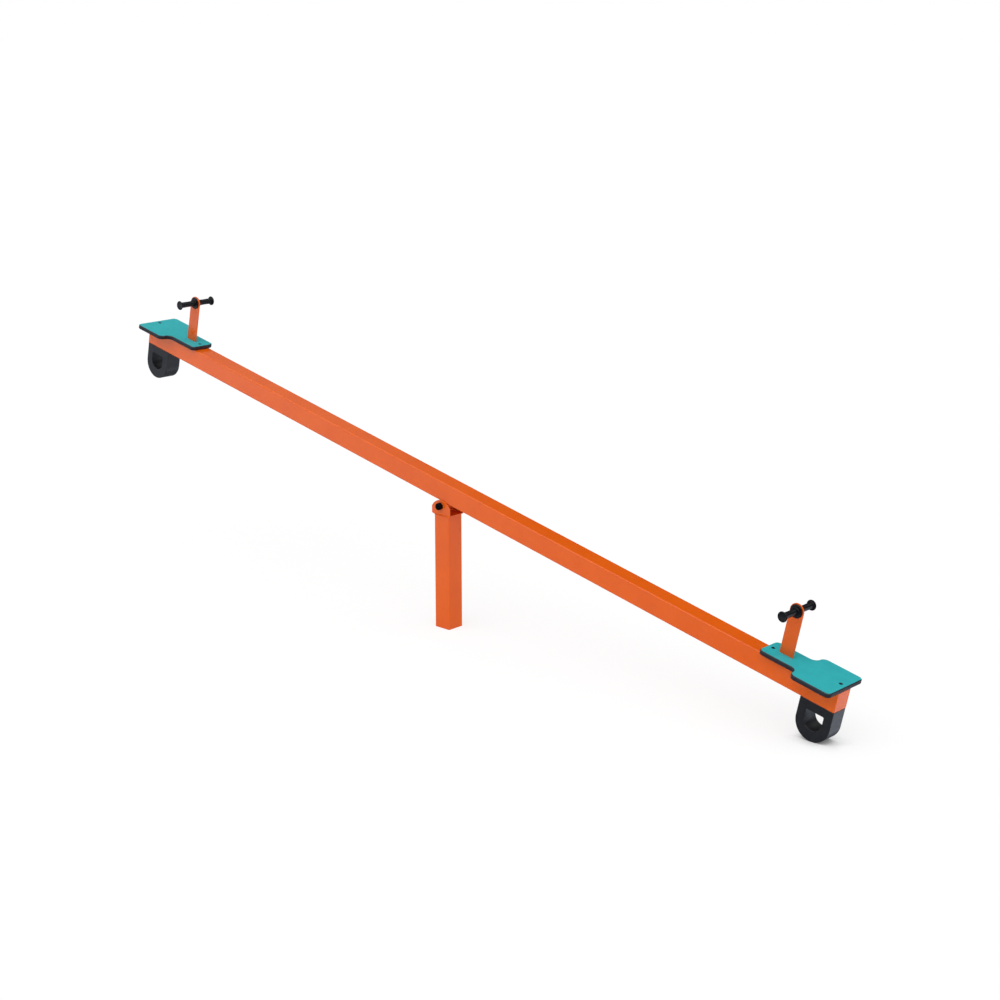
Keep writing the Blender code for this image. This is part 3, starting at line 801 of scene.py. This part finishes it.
def cap_profile(radius, height):
    """A cup open at z=0: a lip, a straight wall and a low dome, then the same from inside."""
    lip = CAP_SKIN
    straight = height - CAP_DOME
    outer = [(0, height)]
    outer += [(p.x, p.y) for p in reversed(ellipse(radius - lip / 3, straight, CAP_DOME))][1:]
    outer += [(radius - lip / 3, lip * 1.6), (radius - lip / 6, lip * 1.3), (radius, lip), (radius, lip / 4)]
    outer += [(radius - lip / 4, 0), (radius - lip, 0)]
    inner = [(p.x, p.y) for p in ellipse(radius - lip, straight, CAP_DOME - lip)][:-1]
    return outer + inner + [(0, height - lip)]


def ellipse(radius, base, rise, steps=12):
    """A quarter of an ellipse from its foot at (radius, base) up to its top on the axis."""
    return [Vector((radius * p.x, base + rise * p.y)) for p in arc(0, 0, 1, 0, 90, steps)]


def hub():
    """The bearing tube, the saddle that carries it and the two flanged bushes."""
    along_y = BEAM @ ALONG_Y
    low, high = corners("hub_tube", along_y)
    radius, length = high.x, high.z - low.z
    sleeve = circle(BUSH_SLEEVE)
    tube = solid((circle(radius), rounded_rim(length, TUBE_EDGE)), (sleeve, bored_rim(length, TUBE_EDGE)))
    stand_in("hub_tube", moved(tube, along_y, up(low.z)), "beam", PAINT)
    saddle_low, saddle_high = corners("hub_saddle", BEAM)
    width = saddle_high.y - saddle_low.y
    start = math.degrees(SADDLE_REACH)
    hollow = arc(0, 0, radius, 180 - start, start)
    foot = hollow[0].y
    outline = hollow + [Vector((SADDLE_FOOT / 2, foot)), Vector((saddle_high.x, saddle_high.z))]
    outline += [Vector((saddle_low.x, saddle_high.z)), Vector((-SADDLE_FOOT / 2, foot))]
    plain = [(0, 0), (0, width)]
    saddle = moved(solid((outline, plain)), BEAM, FACING_Y, up(-width / 2))
    stand_in("hub_saddle", saddle, "beam", PAINT, edge=TUBE_EDGE)
    seat = [(p.x, p.y, saddle_high.z) for p in rounded_box(2 * saddle_high.x, width, BEAD_RADIUS)]
    weld("hub_saddle_weld", moved(bead(seat), BEAM), "beam")
    for name, side in (("inner", -1), ("outer", 1)):
        x = side * radius * math.cos(SADDLE_REACH)
        seam = [(x, -width / 2, foot), (x, width / 2, foot)]
        weld(f"hub_{name}_weld", moved(bead(seam, closed=False), BEAM), "beam")
    for name, outward in OUTWARD.items():
        low, high = corners(f"bush_{name}", outward)
        face = high.z - BUSH_FLANGE
        rim = high.x
        edge = WASHER_EDGE
        inside = M16_RADIUS + edge
        profile = [(inside, high.z), (rim - edge, high.z), (rim, high.z - edge), (rim, face + edge)]
        profile += [(rim - edge, face), (BUSH_SLEEVE, face), (BUSH_SLEEVE, low.z + edge)]
        profile += [(BUSH_SLEEVE - edge, low.z), (inside, low.z)]
        bush = turned(profile, closed=True)
        stand_in(f"bush_{name}", moved(bush, outward), "beam", BUSHING)


# ---------------------------------------------------------------- beam


def beam_tube():
    """The rectangular tube, drilled under each seat and over each bumper."""
    low, high = corners("beam_tube", BEAM)
    width, height = high.y - low.y, high.z - low.z
    length = high.x - low.x
    outside = rounded_box(width, height, BEAM_CORNER)
    bore = rounded_box(width - 2 * BEAM_WALL, height - 2 * BEAM_WALL, BEAM_BORE_CORNER)
    plain = [(0, 0), (0, length)]
    tube = solid((outside, plain), (bore, plain))
    middle = (low.z + high.z) / 2
    tube = moved(tube, up(middle), FACING_X, up(low.x))
    drills = []
    for name, end in ENDS.items():
        turn = BEAM.inverted() @ end
        for number in (1, 2):
            for bolt, level in (("seat_bolt", high.z), ("bumper_bolt", low.z)):
                place = node_middle(f"{bolt}_{name}_{number}", end)
                drill = solid((circle(SCREW_HOLE), [(0, 0), (0, 3 * BEAM_WALL)]))
                at = Matrix.Translation((place.x, place.y, level - 1.5 * BEAM_WALL))
                drills.append(moved(drill, turn, at))
    stand_in("beam_tube", moved(combined(tube, drills, "DIFFERENCE"), BEAM), "beam", PAINT)


def end_plate(name, end):
    """The plate is drawn back to the tube's end, since the weld between them is ground flush and painted."""
    low, high = corners(f"beam_end_plate_{name}", end)
    start = corners("beam_tube", end)[1].x
    outside = rounded_box(high.y - low.y, high.z - low.z, BEAM_CORNER)
    thickness = high.x - start
    profile = [(0, 0)] + rounded_rim(thickness, END_EDGE)[RIM_STEPS + 1 :]
    plate = solid((outside, profile))
    middle = (low.z + high.z) / 2
    stand_in(f"beam_end_plate_{name}", moved(plate, end, up(middle), FACING_X, up(start)), "beam", PAINT)


def board_outline(low, high):
    """Narrow by the handle and wide behind it, with an S of two quarter arcs at the step."""
    neck, wide = NECK_HALF_WIDTH, high.y
    step = (wide - neck) / 2
    corner = BOARD_CORNER
    side = arc(low.x + corner, -neck + corner, corner, 180, 270, 12)
    side += arc(STEP_START, -neck - step, step, 90, 0, 16)
    side += arc(STEP_START + 2 * step, -neck - step, step, 180, 270, 16)[1:]
    side += arc(high.x - corner, -wide + corner, corner, 270, 360, 12)
    return side + [Vector((p.x, -p.y)) for p in reversed(side)]


def seat(name, end):
    """The board: coloured faces over a black core that shows on its milled edge."""
    low, high = corners(f"seat_board_{name}", end)
    thickness = high.z - low.z
    rim = chamfered_rim(thickness, BOARD_CHAMFER, BOARD_BREAK)
    plate_low, plate_high = corners(f"handle_plate_{name}", end)
    slot_length = plate_high.x - plate_low.x + 2 * SLOT_CLEARANCE
    slot_width = plate_high.y - plate_low.y + 2 * SLOT_CLEARANCE
    slot_middle = (plate_low.x + plate_high.x) / 2
    slot = rounded_box(slot_length, slot_width, SLOT_CLEARANCE, slot_middle)
    loops = [(board_outline(low, high), rim), (slot, bored_rim(thickness, SLOT_CLEARANCE))]
    for number in (1, 2):
        screw = f"seat_bolt_{name}_{number}"
        screw_low, screw_high = corners(screw, end)
        place = node_middle(screw, end)
        sunk = screw_high.x - place.x + SLOT_CLEARANCE / 2
        cone = sunk - SCREW_HOLE
        sink = [(0, 0), (0, thickness - SCREW_LAND - cone)]
        sink += [(-cone, thickness - SCREW_LAND), (-cone, thickness)]
        loops.append((circle(SCREW_HOLE, place.x, place.y, SEAT_HOLE_STEPS), sink))
        seat_screw(screw, end, screw_low, screw_high)
        nut(f"seat_nut_{name}_{number}", end, M8_RADIUS, "beam")
    board = solid(*loops, rims=[1] * len(loops))
    stand_in(f"seat_board_{name}", moved(board, end, up(low.z)), "beam", SHEET, BOARD_CORE)


def seat_screw(node, end, low, high):
    """A countersunk screw with a hexagon socket and a threaded shank."""
    place = (low + high) / 2
    head = high.x - place.x
    cone = head - M8_RADIUS
    top, neck = high.z, high.z - SCREW_LAND - cone
    profile = [(0, top), (head - SCREW_LAND / 2, top), (head, top - SCREW_LAND / 2)]
    profile += [(head, top - SCREW_LAND), (M8_RADIUS, neck), (0, neck)]
    depth = M8_SOCKET_DEPTH
    corner = M8_SOCKET / 2 / math.cos(math.pi / 6)
    socket = solid((circle(corner, steps=6), [(0, 0), (0, 2 * depth)]))
    drilled = combined(turned(profile), [moved(socket, up(top - depth))], "DIFFERENCE")
    shank = threaded(M8_RADIUS, M8_PITCH, M8_PITCH, neck - low.z, 0)
    flipped = moved(shank, up(neck), UPSIDE_DOWN)
    at = Matrix.Translation((place.x, place.y, 0))
    stand_in(node, moved(joined(drilled, flipped), end, at), "beam", DARK)


def handle(name, end):
    """Upright plate, cross tube and the two grips."""
    low, high = corners(f"handle_plate_{name}", end)
    half = (high.x - low.x) / 2
    middle = (low.x + high.x) / 2
    grip_height = high.z - half
    tube_low, tube_high = corners(f"handle_tube_{name}", end)
    tube_radius = (tube_high.x - tube_low.x) / 2
    outline = [Vector((-half, low.z - grip_height)), Vector((half, low.z - grip_height))]
    outline += arc(0, 0, half, 0, 180, 2 * ARC_STEPS)
    thickness = high.y - low.y
    rim = rounded_rim(thickness, PLATE_EDGE)
    hole = bored_rim(thickness, TUBE_EDGE)
    plate = solid((outline, rim), (circle(tube_radius + TUBE_EDGE), hole))
    crown = end @ Matrix.Translation((middle, 0, grip_height))
    stand_in(f"handle_plate_{name}", moved(plate, crown, FACING_Y, up(-thickness / 2)), "beam", PAINT)
    length = tube_high.y - tube_low.y
    bore = circle(tube_radius * (1 - HANDLE_WALL))
    tube = solid((circle(tube_radius), rounded_rim(length, TUBE_EDGE)), (bore, bored_rim(length, TUBE_EDGE)))
    stand_in(f"handle_tube_{name}", moved(tube, crown, FACING_Y, up(-length / 2)), "beam", PLATED)
    for label, side in (("left", 1), ("right", -1)):
        outward = crown @ Matrix.Rotation(-side * math.pi / 2, 4, "X")
        low, high = corners(f"grip_{name}_{label}", outward)
        grip = turned(grip_profile(high.x, high.z - low.z, tube_radius))
        stand_in(f"grip_{name}_{label}", moved(grip, outward, up(low.z)), "beam", GRIP_BLACK)


def grip_profile(flange, length, tube_radius):
    """Flange at z=0, a waisted sleeve and an end disc with a dished face; then the bore for the tube."""
    disc, soft, fillet = GRIP_DISC_RADIUS, GRIP_DISC / 2, GRIP_FILLET
    outer = [(0, length - GRIP_DISH)]
    outer += [(disc * reach, length - GRIP_DISH * sink) for reach, sink in DISH_STEPS]
    outer += [(p.x, p.y) for p in arc(disc - soft, length - soft, soft, 90, -90, 14)]
    neck = length - GRIP_DISC - fillet
    outer += [(p.x, p.y) for p in arc(GRIP_BODY + fillet, neck, fillet, 90, 180, 8)]
    foot = GRIP_FLANGE + fillet
    for i in range(1, WAIST_STEPS):
        share = i / WAIST_STEPS
        waist = (GRIP_BODY - GRIP_WAIST) * math.sin(math.pi * share) ** 2
        outer.append((GRIP_BODY - waist, neck + (foot - neck) * share))
    outer += [(p.x, p.y) for p in arc(GRIP_BODY + fillet, foot, fillet, 180, 270, 8)]
    edge = GRIP_FLANGE / 2.2
    outer += [(p.x, p.y) for p in arc(flange - edge, GRIP_FLANGE - edge, edge, 90, 0, 10)]
    outer += [(flange, WASHER_EDGE), (flange - WASHER_EDGE, 0)]
    depth = length - GRIP_DISC - fillet
    bore = tube_radius + TUBE_EDGE
    return outer + [(bore + WASHER_EDGE, 0), (bore, WASHER_EDGE), (bore, depth), (0, depth)]


def bumper(name, end):
    """The rubber D with its bore, and the strip and bolts that clamp its roof."""
    low, high = corners(f"bumper_{name}", end)
    radius = (high.x - low.x) / 2
    middle = (low.x + high.x) / 2
    arc_centre = low.z + radius
    width = high.y - low.y
    top = high.z - arc_centre
    outline = [Vector((radius, top)), Vector((-radius, top))]
    outline += arc(0, 0, radius, 180, 360, 3 * ARC_STEPS)
    roof = top - BUMPER_ROOF
    bore_radius = BORE_WIDTH / 2
    corner = BORE_CORNER
    bore = arc(bore_radius - corner, roof - corner, corner, 0, 90, 6)
    bore += arc(-bore_radius + corner, roof - corner, corner, 90, 180, 6)
    bore += arc(0, roof - BORE_HEIGHT + bore_radius, bore_radius, 180, 360, 2 * ARC_STEPS)
    rim = rounded_rim(width, RUBBER_EDGE)
    block = solid((outline, rim), (bore, bored_rim(width, RUBBER_EDGE)), rims=(1, 2))
    at = end @ Matrix.Translation((middle, 0, arc_centre))
    block = moved(block, at, FACING_Y, up(-width / 2))
    stand_in(f"bumper_{name}", block, "beam", RUBBER_CUT, RUBBER_SKIN, RUBBER_BORE)
    strip_low, strip_high = corners(f"bumper_strip_{name}", end)
    strip_middle = node_middle(f"bumper_strip_{name}", end)
    size = strip_high - strip_low
    holes = []
    for number in (1, 2):
        bolt = f"bumper_bolt_{name}_{number}"
        place = node_middle(bolt, end)
        hole = circle(SCREW_HOLE, place.x - strip_middle.x, 0, STRIP_HOLE_STEPS)
        holes.append((hole, bored_rim(size.z, WASHER_EDGE)))
        bumper_bolt(bolt, end, strip_low.z)
        nut(f"bumper_nut_{name}_{number}", end, M8_RADIUS, "beam")
    outline = rounded_box(size.x, size.y, BORE_CORNER)
    strip = solid((outline, rounded_rim(size.z, WASHER_EDGE)), *holes)
    at = Matrix.Translation((strip_middle.x, 0, strip_low.z))
    stand_in(f"bumper_strip_{name}", moved(strip, end, at), "beam", PLATED)


def bumper_bolt(node, end, face):
    """A hexagon bolt with its head's bearing face under the strip and its shank up through the rubber."""
    low, high = corners(node, end)
    place = (low + high) / 2
    thread = (high.z - face) / 2
    shank = threaded(M8_RADIUS, M8_PITCH, high.z - thread, high.z, face)
    at = Matrix.Translation((place.x, place.y, 0))
    stand_in(node, moved(joined(bolt_head(low, high, face), shank), end, at), "beam", PLATED)


# ---------------------------------------------------------------- stage


def floor():
    """A white floor. Glossy faces mirror the studio's sweep instead of it, which studio() makes. The glow
    that the camera sees is darkened by an ambient-occlusion node into a painted contact shadow where a part
    comes close to it, faded out near the post.
    """
    shape = bmesh.new()
    bmesh.ops.create_grid(shape, x_segments=1, y_segments=1, size=FLOOR_SIZE / 2)
    made = mesh_object("floor", shape)
    made.visible_glossy = False
    finish = Finish("white floor", Roughness=1.0, Specular_IOR_Level=0.0, Emission_Color=(1, 1, 1, 1))
    seen = finish.node("ShaderNodeLightPath").outputs["Is Camera Ray"]
    finish.set("Base Color", finish.spread(seen, FLOOR_WHITE, FLOOR_SEEN, 0, 1))
    # painted shadow: ambient occlusion darkens the glow that the camera sees near a part that touches the
    # floor
    contact = finish.node("ShaderNodeAmbientOcclusion", {"Distance": CONTACT_REACH}, samples=CONTACT_SAMPLES)
    shadow = finish.spread(contact.outputs["AO"], FLOOR_PAINTED_SHADOW, 0, *CONTACT_OPEN)
    from_post = finish.vector("LENGTH", finish.place, (0, 0, 0))["Value"]
    clear = finish.spread(from_post, 0, 1, *CONTACT_CLEAR)
    fill = finish.combine("SUBTRACT", FLOOR_FILL, finish.combine("MULTIPLY", shadow, clear))
    finish.set("Emission Strength", finish.spread(seen, FLOOR_BOUNCE, fill, 0, 1))
    made.data.materials.append(finish.material)


def studio():
    """Soft light from overhead and behind the camera, and a sweep below the horizon that gloss mirrors."""
    world = bpy.data.worlds.new("studio")
    bpy.context.scene.world = world
    world.use_nodes = True
    tree = Tree(world.node_tree)
    towards = tree.node("ShaderNodeTexCoord").outputs["Generated"]
    height = tree.node("ShaderNodeSeparateXYZ", {"Vector": towards}).outputs["Z"]
    overhead = tree.spread(height, 0, DOME_LIGHT, DOME_START, DOME_FULL, "SMOOTHSTEP")
    side = tree.vector("DOT_PRODUCT", towards, DOME_SIDE)["Value"]
    dome = tree.combine("MULTIPLY", overhead, tree.spread(side, 0, 1 + DOME_LEAN, -1 / DOME_LEAN, 1))
    sky_side = tree.vector("DOT_PRODUCT", towards, SKY_SIDE)["Value"]
    above = tree.combine("ADD", dome, tree.spread(sky_side, 0, SKY_LIGHT, *SKY_EDGE, "SMOOTHSTEP"))
    (low, dim), (high, bright) = GLOW_LOW, GLOW_HIGH
    sweep = tree.spread(height, dim, bright, low, high)
    card_side = tree.vector("DOT_PRODUCT", towards, CARD_SIDE)["Value"]
    card = tree.spread(card_side, 0, CARD_LIGHT, *CARD_EDGE, "SMOOTHSTEP")
    glow = tree.combine("MULTIPLY", tree.combine("ADD", sweep, card), tree.spread(height, 1, 0, *GLOW_END))
    below = tree.vector("MULTIPLY", glow, GLOW_TINT)["Vector"]
    light = tree.vector("ADD", above, below)["Vector"]
    seen = tree.node("ShaderNodeLightPath").outputs["Is Camera Ray"]
    background = tree.tree.nodes["Background"]
    tree.tree.links.new(tree.blend(seen, light, (1, 1, 1, 1)), background.inputs["Color"])


def camera():
    """The view that shows the low end near and the beam rising away from it."""
    lens = bpy.data.cameras.new("camera")
    lens.lens = CAMERA_LENS
    lens.clip_end = 2 * FLOOR_SIZE
    made = bpy.data.objects.new("camera", lens)
    made.location = CAMERA_PLACE
    made.rotation_euler = (math.pi / 2 - CAMERA_DIP, 0, CAMERA_TURN)
    bpy.context.scene.collection.objects.link(made)
    bpy.context.scene.camera = made


def main():
    post()
    pivot_bracket()
    axle()
    hub()
    beam_tube()
    for name, end in ENDS.items():
        end_plate(name, end)
        seat(name, end)
        handle(name, end)
        bumper(name, end)
    floor()
    studio()
    camera()
    bpy.context.scene.view_settings.view_transform = "Standard"


main()
